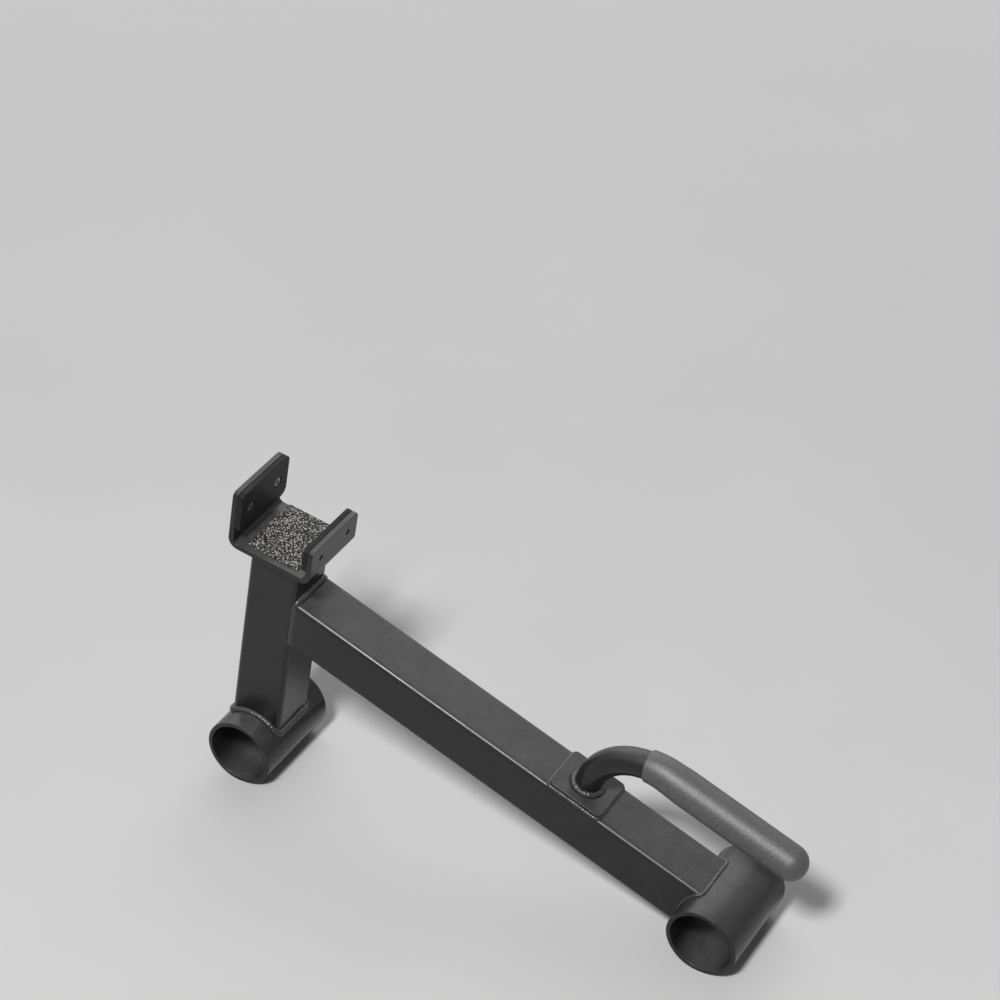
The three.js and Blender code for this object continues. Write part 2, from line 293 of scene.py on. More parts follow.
def cut(piece: Object, tool: Object) -> None:
    """Cuts a piece with a tool, and removes the tool."""
    apply_modifier(piece, "BOOLEAN", object=tool, operation="DIFFERENCE", solver="EXACT")
    bpy.data.objects.remove(tool)


def thicken(piece: Object, wall: float, offset: float = -1.0) -> None:
    """Gives a shell a wall, on its inner side, or half on each side with an offset of 0."""
    apply_modifier(piece, "SOLIDIFY", thickness=wall, offset=offset, use_even_offset=True)


def soften(piece: Object, width: float) -> None:
    """Bevels a piece's sharp edges a little, by a width."""
    limit = {"limit_method": "ANGLE", "angle_limit": SHARP_ANGLE}
    apply_modifier(piece, "BEVEL", width=width, segments=SOFT_STEPS, harden_normals=False, **limit)


def hand_over(piece: Object, place: Matrix, name: str, material: Material) -> None:
    """Places, smooths, names and dresses a finished piece, and lets it stand for its solid.

    Args:
        piece: The finished piece.
        place: Its frame in the row's frame.
        name: Its solid's name.
        material: Its finish.
    """
    move_to(piece, place)
    bpy.ops.object.shade_smooth_by_angle(angle=SMOOTH_ANGLE)
    apply_modifier(piece, "WEIGHTED_NORMAL", keep_sharp=True)
    piece.name = f"{name}_detail"
    piece.data.name = piece.name
    piece.data.materials.clear()
    piece.data.materials.append(material)
    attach(piece, BODY)
    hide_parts(name)
    log.info("%s: %d faces", piece.name, len(piece.data.polygons))


def hand_over_copies(pattern: Object, places: dict[str, Matrix], material: Material) -> None:
    """Hands over copies of a piece, each with its own mesh, and removes the piece.

    Args:
        pattern: The piece that repeats, modelled about the origin.
        places: The name of each copy's solid, with the copy's place.
        material: Their finish.
    """
    for name, place in places.items():
        hand_over(add_object(name, pattern.data.copy()), place, name, material)
    bpy.data.objects.remove(pattern)


# Materials


class Sheet:
    """Adds nodes and links to one node tree."""

    def __init__(self, tree: NodeTree) -> None:
        """Keeps the tree."""
        self.tree = tree

    def found(self, kind: str) -> Node:
        """Returns the first node of a kind that the tree already has."""
        return next(node for node in self.tree.nodes if node.type == kind)

    def feed(self, socket: NodeSocket, value: object) -> None:
        """Links a socket to another, or sets its value.

        Args:
            socket: The input.
            value: Its value, or the socket that feeds it.
        """
        if isinstance(value, NodeSocket):
            self.tree.links.new(value, socket)
        else:
            socket.default_value = value

    def node(self, kind: str, settings: dict[str, object] | None = None, **inputs: object) -> NodeOutputs:
        """Adds a node.

        Args:
            kind: Blender's name of the node's type.
            settings: Its settings by name.
            **inputs: Its sockets' values, or the sockets that feed them. Underscores stand for spaces.

        Returns:
            The new node's outputs.
        """
        made = self.tree.nodes.new(kind)
        for name, value in (settings or {}).items():
            setattr(made, name, value)
        for name, value in inputs.items():
            self.feed(made.inputs[name.replace("_", " ")], value)
        return made.outputs

    def math(self, operation: str, *values: object, kind: str = "ShaderNodeMath") -> NodeSocket:
        """Adds a Math node.

        Args:
            operation: Its operation.
            *values: What feeds its inputs, in order.
            kind: The node's type, for vectors another.

        Returns:
            Its plain value.
        """
        made = self.tree.nodes.new(kind)
        made.operation = operation
        for socket, value in zip(made.inputs, values):
            self.feed(socket, value)
        return made.outputs["Value"]

    def vector_math(self, operation: str, *vectors: object) -> NodeSocket:
        """Returns the plain value that an operation on vectors gives."""
        return self.math(operation, *vectors, kind="ShaderNodeVectorMath")

    def ramp(self, value: object, low: float, high: float) -> NodeSocket:
        """Returns a value mapped to 0 at low and 1 at high."""
        return self.node("ShaderNodeMapRange", Value=value, From_Min=low, From_Max=high)["Result"]

    def blend(self, share: object, first: object, second: object) -> NodeSocket:
        """Mixes two colours.

        Args:
            share: 0 for the first, 1 for the second.
            first: A colour or what feeds it.
            second: A colour or what feeds it.

        Returns:
            The mixed colour.
        """
        made = self.tree.nodes.new("ShaderNodeMix")
        made.data_type = "RGBA"
        # Several sockets of this node share a name, and the name finds the one in use
        for name, value in (("Factor", share), ("A", first), ("B", second)):
            self.feed(made.inputs[name], value)
        return next(socket for socket in made.outputs if socket.type == "RGBA")

    def cover(self, tone: object, mask: NodeSocket, strength: float, colour: Colour) -> NodeSocket:
        """Returns a tone with a colour laid over it where a mask says, as strongly as given."""
        return self.blend(self.math("MULTIPLY", mask, strength), tone, colour)

    def noise(self, vector: object, grain: object, detail: float, roughness: float = 0.5) -> NodeSocket:
        """Returns a noise pattern of a scale and detail, about 0.3 to 0.7, and finer when rougher."""
        look = {"Scale": grain, "Detail": detail, "Roughness": roughness}
        return self.node("ShaderNodeTexNoise", Vector=vector, **look)["Fac"]

    def cells(self, vector: object, grain: float) -> NodeOutputs:
        """Returns the outputs of a cell pattern of a scale."""
        return self.node("ShaderNodeTexVoronoi", {"feature": "F1"}, Vector=vector, Scale=grain)

    def group(self, tree: NodeTree, **inputs: object) -> NodeOutputs:
        """Places a shared group with its own values, and returns its outputs."""
        return self.node("ShaderNodeGroup", {"node_tree": tree}, **inputs)


FLOAT = "NodeSocketFloat"
VECTOR = "NodeSocketVector"


def new_group(
    name: str, numbers: dict[str, float], outputs: list[str]
) -> tuple[Sheet, dict[str, NodeSocket], dict[str, NodeSocket]]:
    """Starts a node group with named sockets.

    Args:
        name: The group's name.
        numbers: The default values of its plain inputs, which follow an input named Vector.
        outputs: The names of its outputs, all plain values.

    Returns:
        The group's sheet, its inputs by name, and its outputs by name.
    """
    tree = bpy.data.node_groups.new(name, "ShaderNodeTree")
    tree.interface.new_socket("Vector", in_out="INPUT", socket_type=VECTOR)
    for label, value in numbers.items():
        tree.interface.new_socket(label, in_out="INPUT", socket_type=FLOAT).default_value = value
    for label in outputs:
        tree.interface.new_socket(label, in_out="OUTPUT", socket_type=FLOAT)
    entry = tree.nodes.new("NodeGroupInput").outputs
    leave = tree.nodes.new("NodeGroupOutput").inputs
    given = {label: entry[label] for label in ("Vector", *numbers)}
    return Sheet(tree), given, {label: leave[label] for label in outputs}


def grain_group() -> NodeTree:
    """Builds the group with a fine bumpy grain and slow changes of tone.

    Returns:
        The group.
    """
    sheet, given, out = new_group("fine_grain", {"Grain": 1500.0, "Patch": 30.0}, ["Height", "Tone"])
    fine = sheet.noise(given["Vector"], given["Grain"], detail=3, roughness=0.6)
    patches = sheet.noise(given["Vector"], given["Patch"], detail=4, roughness=0.6)
    sheet.feed(out["Height"], sheet.ramp(fine, low=0.3, high=0.7))
    sheet.feed(out["Tone"], sheet.ramp(patches, low=0.35, high=0.65))
    return sheet.tree


def wear_group() -> NodeTree:
    """Builds the group that masks convex edges, broken up by a noise.

    Returns:
        The group.
    """
    sheet, given, out = new_group("edge_wear", {"Radius": 1.2 * MM, "Breaks": 220.0}, ["Mask"])
    rounded = sheet.node("ShaderNodeBevel", {"samples": 4}, Radius=given["Radius"])["Normal"]
    flat = sheet.node("ShaderNodeNewGeometry")["Normal"]
    edge = sheet.ramp(sheet.vector_math("DOT_PRODUCT", rounded, flat), low=0.99, high=0.8)
    breaks = sheet.noise(given["Vector"], given["Breaks"], detail=3)
    sheet.feed(out["Mask"], sheet.math("MULTIPLY", edge, sheet.ramp(breaks, low=0.42, high=0.62)))
    return sheet.tree


def dust_and_top_light_group() -> NodeTree:
    """Builds the group that masks faces that look up: dust specks, and a cloudy film that covers every such
    face, which is partly dust and partly painted light on the tops.

    Returns:
        The group.
    """
    sheet, given, out = new_group("dust_and_top_light", {"Patch": 45.0}, ["Mask"])
    normal = sheet.node("ShaderNodeNewGeometry")["Normal"]
    height = sheet.node("ShaderNodeSeparateXYZ", Vector=normal)["Z"]
    level = sheet.ramp(height, low=0.5, high=1.0)
    cloud = sheet.noise(given["Vector"], given["Patch"], detail=6, roughness=0.65)
    # The film's least share lightens every face that looks up: painted light on the tops, besides dust.
    least, spread = 0.42, 0.3
    film = sheet.math("MULTIPLY_ADD", sheet.ramp(cloud, low=0.4, high=0.75), spread, least)
    specks = sheet.ramp(sheet.noise(given["Vector"], grain=900.0, detail=2), low=0.62, high=0.7)
    sheet.feed(out["Mask"], sheet.math("MULTIPLY", level, sheet.math("MAXIMUM", film, specks)))
    return sheet.tree


@dataclass(frozen=True)
class Groups:
    """The node groups that the finishes share."""

    grain: NodeTree
    wear: NodeTree
    dust_and_top_light: NodeTree

    @classmethod
    def build(cls) -> "Groups":
        """Returns the three groups, built once."""
        return cls(grain_group(), wear_group(), dust_and_top_light_group())


def grey(level: float, tint: float = 1.03) -> Colour:
    """Returns a grey with its blue times the tint."""
    return (level, level, level * tint, 1.0)


def new_material(name: str) -> tuple[Material, Sheet, Node]:
    """Starts a material.

    Args:
        name: Its name.

    Returns:
        The material, its sheet and its surface shader.
    """
    material = bpy.data.materials.new(name)
    material.use_nodes = True
    sheet = Sheet(material.node_tree)
    return material, sheet, sheet.found("BSDF_PRINCIPLED")


@dataclass(frozen=True)
class Undercoat:
    """What the layers of a finish lie on: the object coordinates, the grain, the patches and the tone."""

    sheet: Sheet
    place: NodeSocket
    grain: NodeSocket
    patches: NodeSocket
    tone: NodeSocket

    def mask(self, tree: NodeTree, **inputs: float) -> NodeSocket:
        """Places the wear or the dust with its own values, and returns its mask."""
        return self.sheet.group(tree, Vector=self.place, **inputs)["Mask"]


@dataclass(frozen=True)
class Finish:
    """A material of two greys in slow patches, with a fine grain and layers of its own."""

    groups: Groups
    name: str
    dark: float
    light: float
    roughness: float
    specular: float
    grain: float
    relief: float
    patch: float = 30.0
    metallic: float = 0.0

    def layers(self, under: Undercoat) -> Layers:
        """Adds the finish's own layers, in each kind of finish."""
        raise NotImplementedError

    def material(self) -> Material:
        """Builds the material.

        Returns:
            The material.
        """
        material, sheet, shader = new_material(self.name)
        place = sheet.node("ShaderNodeTexCoord")["Object"]
        grain = sheet.group(self.groups.grain, Vector=place, Grain=self.grain, Patch=self.patch)
        tone = sheet.blend(grain["Tone"], grey(self.dark), grey(self.light))
        under = Undercoat(sheet, place, grain["Height"], grain["Tone"], tone)
        colour, roughness, height = self.layers(under)
        bump = sheet.node("ShaderNodeBump", Strength=1.0, Distance=self.relief, Height=height)
        shader.inputs["Specular IOR Level"].default_value = self.specular
        shader.inputs["Metallic"].default_value = self.metallic
        sheet.feed(shader.inputs["Base Color"], colour)
        sheet.feed(shader.inputs["Roughness"], roughness)
        sheet.feed(shader.inputs["Normal"], bump["Normal"])
        return material


@dataclass(frozen=True)
class PowderCoat(Finish):
    """Satin powder coat with an even fine texture, dust that also paints light on the tops, and rubbed edges
    that also paint highlights.
    """

    name: str = "black_powder_coat"
    dark: float = 0.008
    light: float = 0.012
    roughness: float = 0.24
    specular: float = 0.36
    grain: float = 1100.0
    relief: float = 0.008 * MM
    waves: float = 0.0
    speckle: float = 0.35
    speckle_light: float = 1.5
    patch_roughness: float = 0.08
    # The rubbed edges are lightened more than wear alone would, as painted highlights along the edges.
    wear: float = 0.4
    worn: Colour = grey(0.2)
    # The dust also lightens every face that looks up, as painted light on the tops.
    dust_and_top_light: float = 0.5
    dust_on_grains: Pair = (0.9, 0.55)
    dust_and_top_light_colour: Colour = grey(0.2, 0.98)
    dust_roughness: float = 0.3

    def layers(self, under: Undercoat) -> Layers:
        """Adds speckles, rubbed edges with painted highlights, and dust with painted top light, which clings
        to the grain.

        Args:
            under: What the layers lie on.

        Returns:
            The colour, roughness and height.
        """
        sheet = under.sheet
        tone = sheet.cover(under.tone, under.grain, self.speckle, grey(self.light * self.speckle_light))
        # Painted highlights: every convex edge is lightened, partly as rubbed paint.
        tone = sheet.cover(tone, under.mask(self.groups.wear), self.wear, self.worn)
        clinging = sheet.math("MULTIPLY_ADD", under.grain, *self.dust_on_grains)
        # Dust and painted top light: the faces that look up are lightened.
        dust_and_top_light = sheet.math("MULTIPLY", under.mask(self.groups.dust_and_top_light), self.dust_and_top_light)
        dust_and_top_light = sheet.math("MULTIPLY", dust_and_top_light, clinging)
        rough = sheet.math("MULTIPLY_ADD", under.patches, self.patch_roughness, self.roughness)
        return (
            sheet.blend(dust_and_top_light, tone, self.dust_and_top_light_colour),
            sheet.math("MULTIPLY_ADD", dust_and_top_light, self.dust_roughness, rough),
            sheet.math("MULTIPLY_ADD", under.patches, self.waves, under.grain),
        )


@dataclass(frozen=True)
class WeldCoat(PowderCoat):
    """The same coat over weld metal: a little lighter and glossier, and wavy."""

    name: str = "coated_weld"
    dark: float = 0.012
    light: float = 0.018
    roughness: float = 0.22
    specular: float = 0.6
    grain: float = 700.0
    relief: float = 0.01 * MM
    patch: float = 260.0
    waves: float = 12.0


@dataclass(frozen=True)
class PadPlastic(Finish):
    """Smooth black plastic with faint scuffs along the bar."""

    name: str = "black_pad"
    dark: float = 0.007
    light: float = 0.01
    roughness: float = 0.5
    specular: float = 0.2
    grain: float = 2200.0
    relief: float = 0.01 * MM
    scuff: float = 0.25
    scuff_scale: Triple = (900.0, 25.0, 900.0)
    scuff_colour: Colour = grey(0.12)
    scuff_roughness: float = 0.2
    wear: float = 0.3
    wear_radius: float = 0.8 * MM
    worn: Colour = grey(0.2)

    def layers(self, under: Undercoat) -> Layers:
        """Adds scuffs, drawn out along the bar, and rubbed edges.

        Args:
            under: What the layers lie on.

        Returns:
            The colour, roughness and height.
        """
        sheet = under.sheet
        along_bar = sheet.node("ShaderNodeMapping", Vector=under.place, Scale=self.scuff_scale)["Vector"]
        scuffs = sheet.ramp(sheet.noise(along_bar, grain=1.0, detail=4), low=0.56, high=0.72)
        tone = sheet.cover(under.tone, scuffs, self.scuff, self.scuff_colour)
        wear = under.mask(self.groups.wear, Radius=self.wear_radius)
        return (
            sheet.cover(tone, wear, self.wear, self.worn),
            sheet.math("MULTIPLY_ADD", scuffs, self.scuff_roughness, self.roughness),
            under.grain,
        )


@dataclass(frozen=True)
class GritStrip(Finish):
    """Rough anti-slip strip with light and dark grains set in a black binder."""

    name: str = "grit_strip"
    dark: float = 0.008
    light: float = 0.016
    roughness: float = 0.85
    specular: float = 0.5
    grain: float = 1500.0
    relief: float = 0.35 * MM
    grains: float = 780.0
    grain_colour: Colour = (0.66, 0.64, 0.6, 1.0)
    grain_gloss: float = 0.35
    least_height: float = 0.3

    def layers(self, under: Undercoat) -> Layers:
        """Adds domed grains of which some are light, each of its own height.

        Args:
            under: What the layers lie on.

        Returns:
            The colour, roughness and height.
        """
        sheet = under.sheet
        cells = sheet.cells(under.place, self.grains)
        chance = sheet.node("ShaderNodeSeparateColor", Color=cells["Color"])["Red"]
        domed = sheet.math("SUBTRACT", 1.0, cells["Distance"])
        bright = sheet.ramp(chance, low=0.4, high=0.75)
        lit = sheet.math("MULTIPLY", bright, sheet.ramp(domed, low=0.35, high=0.75))
        return (
            sheet.blend(lit, under.tone, self.grain_colour),
            sheet.math("MULTIPLY_ADD", lit, -self.grain_gloss, self.roughness),
            sheet.math("MULTIPLY", domed, sheet.math("ADD", chance, self.least_height)),
        )


@dataclass(frozen=True)
class SleeveFoam(Finish):
    """Matte closed-cell sleeve with fine pores."""

    name: str = "foam_sleeve"
    dark: float = 0.018
    light: float = 0.026
    roughness: float = 0.43
    specular: float = 1.0
    grain: float = 540.0
    relief: float = 0.1 * MM
    speckle: float = 0.6
    speckle_light: float = 3.4
    pores: float = 1300.0
    pore_height: float = 0.6
    pore_roughness: float = 0.05
    dust_and_top_light: float = 0.2
    dust_patch: float = 70.0
    dust_and_top_light_colour: Colour = grey(0.2, 0.97)

    def layers(self, under: Undercoat) -> Layers:
        """Adds speckles, pores and a little dust, which also lightens the faces that look up as painted
        light.

        Args:
            under: What the layers lie on.

        Returns:
            The colour, roughness and height.
        """
        sheet = under.sheet
        skin = sheet.ramp(sheet.cells(under.place, self.pores)["Distance"], low=0.1, high=0.55)
        tone = sheet.cover(under.tone, under.grain, self.speckle, grey(self.light * self.speckle_light))
        # Dust and painted top light: the faces that look up are lightened.
        dust_and_top_light = under.mask(self.groups.dust_and_top_light, Patch=self.dust_patch)
        return (
            sheet.cover(tone, dust_and_top_light, self.dust_and_top_light, self.dust_and_top_light_colour),
            sheet.math("MULTIPLY_ADD", skin, self.pore_roughness, self.roughness),
            sheet.math("MULTIPLY_ADD", skin, self.pore_height, under.grain),
        )


@dataclass(frozen=True)
class ScrewSteel(Finish):
    """Dull steel with a fine grain and rubbed edges."""

    name: str = "dull_screw"
    dark: float = 0.2
    light: float = 0.28
    roughness: float = 0.35
    specular: float = 0.5
    metallic: float = 0.9
    grain: float = 1500.0
    relief: float = 0.01 * MM
    grain_roughness: float = 0.15
    wear: float = 0.5
    wear_radius: float = 0.6 * MM
    wear_breaks: float = 900.0
    worn: Colour = grey(0.5, 1.0)

    def layers(self, under: Undercoat) -> Layers:
        """Adds rubbed edges.

        Args:
            under: What the layers lie on.

        Returns:
            The colour, roughness and height.
        """
        wear = under.mask(self.groups.wear, Radius=self.wear_radius, Breaks=self.wear_breaks)
        return (
            under.sheet.cover(under.tone, wear, self.wear, self.worn),
            under.sheet.math("MULTIPLY_ADD", under.grain, self.grain_roughness, self.roughness),
            under.grain,
        )


@dataclass(frozen=True)
class Finishes:
    """The six materials of the jack."""

    coat: Material
    weld: Material
    pad: Material
    grit: Material
    sleeve: Material
    screw: Material

    @classmethod
    def build(cls) -> "Finishes":
        """Builds each material once, from the shared groups.

        Returns:
            The materials.
        """
        groups = Groups.build()
        kinds = (PowderCoat, WeldCoat, PadPlastic, GritStrip, SleeveFoam, ScrewSteel)
        return cls(*(kind(groups).material() for kind in kinds))


# Pieces


@dataclass
class RoundFeet:
    """The two open round tubes that lie crosswise on the floor."""

    finishes: Finishes
    length: float = 94 * MM
    wall: float = 4 * MM
    rim: float = 0.7 * MM
    sides: int = 96

    def build(self) -> None:
        """Builds both feet, as copies of one."""
        foot = add_rod(FOOT_RADIUS, self.length, self.sides, ALONG_Y)
        make_hollow(foot, Y_AXIS, self.wall)
        soften(foot, self.rim)
        front = placed(FRONT_FOOT_X, FOOT_RADIUS)
        places = {"front_foot": front, "rear_foot": placed(FOOT_SPACING, 0) @ front}
        hand_over_copies(foot, places, self.finishes.coat)


@dataclass
class SquareTubes:
    """The post and the arm, both cut from the same square tube."""

    finishes: Finishes
    wall: float = 3 * MM
    cope_sides: int = 128

    def tube(self, length: float) -> Object:
        """Builds a square tube that stands on the origin, along Z.

        Args:
            length: Its length.

        Returns:
            The tube.
        """
        bar = add_box((TUBE_SIDE, TUBE_SIDE, length), (0, 0, length / 2))
        round_edges(bar, Z_AXIS, TUBE_CORNER)
        make_hollow(bar, Z_AXIS, self.wall)
        return bar

    def cope(self, tube: Object) -> None:
        """Cuts a tube's end at the origin to the round of a foot."""
        cut(tube, add_rod(FOOT_RADIUS + CLEARANCE, 2 * TUBE_SIDE, self.cope_sides, ALONG_Y))

    def build_post(self) -> None:
        """Builds the post, coped to sit on the front foot."""
        post = self.tube(POST_HEIGHT)
        self.cope(post)
        hand_over(post, POST_FRAME, "post", self.finishes.coat)

    def build_arm(self) -> None:
        """Builds the arm, coped to the rear foot and cut to the post's flat face."""
        arm = self.tube(ARM_LENGTH + TUBE_SIDE / 2)
        move_to(arm, ALONG_ARM)
        self.cope(arm)
        beyond = add_box((TUBE_SIDE, 2 * TUBE_SIDE, 2 * TUBE_SIDE), (CLEARANCE - TUBE_SIDE / 2, 0, 0))
        move_to(beyond, placed(-ARM_LENGTH, 0, POST_LEAN - ARM_SLOPE))
        cut(arm, beyond)
        hand_over(arm, ARM_FRAME, "arm", self.finishes.coat)


@dataclass(frozen=True)
class Flange:
    """An upright side of the cradle, at -X or +X, and how far above its base the pad on it begins."""

    name: str
    side: int
    height: float
    lift: float


@dataclass
class Cradle:
    """The bent bracket that holds the bar, its pads, their screws and the rough strip."""

    finishes: Finishes
    flanges: tuple[Flange, Flange] = (
        Flange("tall", -1, 60.5 * MM, 12 * MM),
        Flange("short", 1, 37.5 * MM, 5.3 * MM),
    )
    plate: float = 5 * MM
    width: float = 84 * MM
    length: float = 72 * MM
    edge: float = 0.55 * MM
    bend: float = 5 * MM
    bend_steps: int = 10
    corner: float = 5 * MM
    corner_steps: int = 6
    pad_thickness: float = 5 * MM
    pad_edge: float = 0.5 * MM
    pad_lower_corner: float = 8 * MM
    screw_spacing: float = 41.5 * MM
    screw_sides: int = 40
    screw_edge: float = 0.4 * MM
    head_radius: float = 4.5 * MM
    head_height: float = 2.6 * MM
    head_recess: float = 0.6 * MM
    pocket_room: float = 0.8 * MM
    shank_radius: float = 2.5 * MM
    shank_recess: float = 0.8 * MM
    socket_radius: float = 2.3 * MM
    socket_depth: float = 1.5 * MM
    socket_sides: int = 6
    overrun: float = 10 * MM
    strip_size: Triple = (52 * MM, 66 * MM, 1 * MM)
    strip_corner: float = 2 * MM
    strip_corner_steps: int = 4
    strip_shift: float = 3 * MM
    strip_cell: float = 1 * MM
    strip_relief: float = 0.35 * MM
    strip_seed: int = 7

    @property
    def fold(self) -> float:
        """How far from the plate's middle a flange's bend begins."""
        return self.width / 2 - self.bend - self.plate

    @property
    def screw_rows(self) -> Pair:
        """Where the two screws of a pad lie along it."""
        return (-self.screw_spacing / 2, self.screw_spacing / 2)

    def pad_middle(self, flange: Flange) -> float:
        """Returns the height of a pad's middle above the bracket's underside."""
        return (flange.height + self.plate + flange.lift) / 2

    def flange_frame(self, flange: Flange) -> Matrix:
        """Finds the frame of a pad: its back at X = 0, its face to the bar at +X.

        Args:
            flange: The flange it lies on.

        Returns:
            The frame.
        """
        turn = Matrix.Rotation(0 if flange.side < 0 else math.pi, 4, "Z")
        x = flange.side * (self.width / 2 - self.plate - CLEARANCE)
        return CRADLE_FRAME @ placed(x, self.pad_middle(flange)) @ turn

    def cut_hole(self, piece: Object, radius: float, centre: Triple) -> None:
        """Cuts a round hole along X, as far as the overrun on each side of its middle."""
        cut(piece, add_rod(radius, 2 * self.overrun, self.screw_sides, ALONG_X, centre))

    def raise_flange(self, bracket: Object, flange: Flange) -> None:
        """Bends one side of the flat plate up and draws it out to the flange's height.

        Args:
            bracket: The flat middle of the plate, without a thickness.
            flange: The flange to make.
        """
        start = flange.side * self.fold
        with editing(bracket):
            pick(bracket, Pick.EDGES, lambda edge: all(abs(v.co.x - start) < CLEARANCE for v in edge.verts))
            draw_round((start, 0, self.plate + self.bend), -flange.side * QUARTER_TURN, self.bend_steps)
            extrude((0, 0, flange.height - self.plate - self.bend))
            pick(bracket, Pick.VERTS, lambda vert: abs(vert.co.z - flange.height) < CLEARANCE)
            bpy.ops.mesh.bevel(offset=self.corner, segments=self.corner_steps, affect="VERTICES")

    def build_bracket(self) -> None:
        """Builds the bent bracket, with holes for the screws' ends."""
        add = bpy.ops.mesh.primitive_plane_add
        bracket = add_primitive(add, size=1, location=(0, 0, self.plate / 2))
        move_to(bracket, Matrix.Diagonal((2 * self.fold, self.length, 1, 1)))
        for flange in self.flanges:
            self.raise_flange(bracket, flange)
        with editing(bracket):
            close_shell()
        thicken(bracket, self.plate, offset=0.0)
        soften(bracket, self.edge)
        for flange in self.flanges:
            for y in self.screw_rows:
                centre = (flange.side * self.width / 2, y, self.pad_middle(flange))
                self.cut_hole(bracket, self.shank_radius + CLEARANCE, centre)
        hand_over(bracket, CRADLE_FRAME, "cradle_bracket", self.finishes.coat)

    def build_pad(self, flange: Flange) -> None:
        """Builds a pad with its two pockets.

        Args:
            flange: The flange it lies on.
        """
        size = (self.pad_thickness, self.length, flange.height - self.plate - flange.lift)
        pad = add_box(size, (self.pad_thickness / 2, 0, 0))
        round_edges(pad, X_AXIS, self.corner, wanted=lambda edge: edge.verts[0].co.z > 0)
        round_edges(pad, X_AXIS, self.pad_lower_corner, wanted=lambda edge: edge.verts[0].co.z < 0)
        floor = self.pad_thickness - self.head_recess - self.head_height - CLEARANCE
        for y in self.screw_rows:
            self.cut_hole(pad, self.head_radius + self.pocket_room, (floor + self.overrun, y, 0))
            self.cut_hole(pad, self.shank_radius + CLEARANCE, (0, y, 0))
        soften(pad, self.pad_edge)
        name = f"cradle_liner_{flange.name}"
        hand_over(pad, self.flange_frame(flange), name, self.finishes.pad)

    def screw_mesh(self) -> Object:
        """Builds one screw along X, in its pad's frame, with a hexagon socket.

        Returns:
            The screw.
        """
        top = self.pad_thickness - self.head_recess
        middle = (top - self.head_height / 2, 0, 0)
        screw = add_rod(self.head_radius, self.head_height, self.screw_sides, ALONG_X, middle)
        shank = top - self.head_height - self.shank_recess + self.plate
        with editing(screw):
            pick(screw, Pick.FACES, lambda face: face.normal.x < -ALIGNED)
            bpy.ops.mesh.inset(thickness=self.head_radius - self.shank_radius)
            extrude((-shank, 0, 0))
        soften(screw, self.screw_edge)
        depth = 2 * self.socket_depth
        cut(screw, add_rod(self.socket_radius, depth, self.socket_sides, ALONG_X, (top, 0, 0)))
        return screw

    def build_screws(self) -> None:
        """Builds the four screws, as copies of one."""
        places = {
            f"liner_screw_{flange.name}_{number}": self.flange_frame(flange) @ Matrix.Translation((0, y, 0))
            for flange in self.flanges
            for number, y in enumerate(self.screw_rows, start=1)
        }
        hand_over_copies(self.screw_mesh(), places, self.finishes.screw)

    def build_strip(self) -> None:
        """Builds the rough strip: its top is cut into fine cells, whose corners sink by chance."""
        width, length, thickness = self.strip_size
        strip = add_box(self.strip_size, (0, 0, thickness / 2))
        round_edges(strip, Z_AXIS, self.strip_corner, self.strip_corner_steps)
        with editing(strip):
            for normal, span in ((Vector((1, 0, 0)), width), (Vector((0, 1, 0)), length)):
                cells = round(span / self.strip_cell)
                for cell in range(1, cells):
                    bpy.ops.mesh.select_all(action="SELECT")
                    distance = span * (cell / cells - 0.5)
                    bpy.ops.mesh.bisect(plane_co=normal * distance, plane_no=normal)
        chance = random.Random(self.strip_seed)
        for vertex in strip.data.vertices:
            if vertex.co.z > thickness / 2:
                vertex.co.z -= chance.random() * self.strip_relief
        place = CRADLE_FRAME @ Matrix.Translation((0, self.strip_shift, self.plate + CLEARANCE))
        hand_over(strip, place, "seat_grip_strip", self.finishes.grit)

    def build(self) -> None:
        """Builds the whole cradle."""
        self.build_bracket()
        for flange in self.flanges:
            self.build_pad(flange)
        self.build_screws()
        self.build_strip()


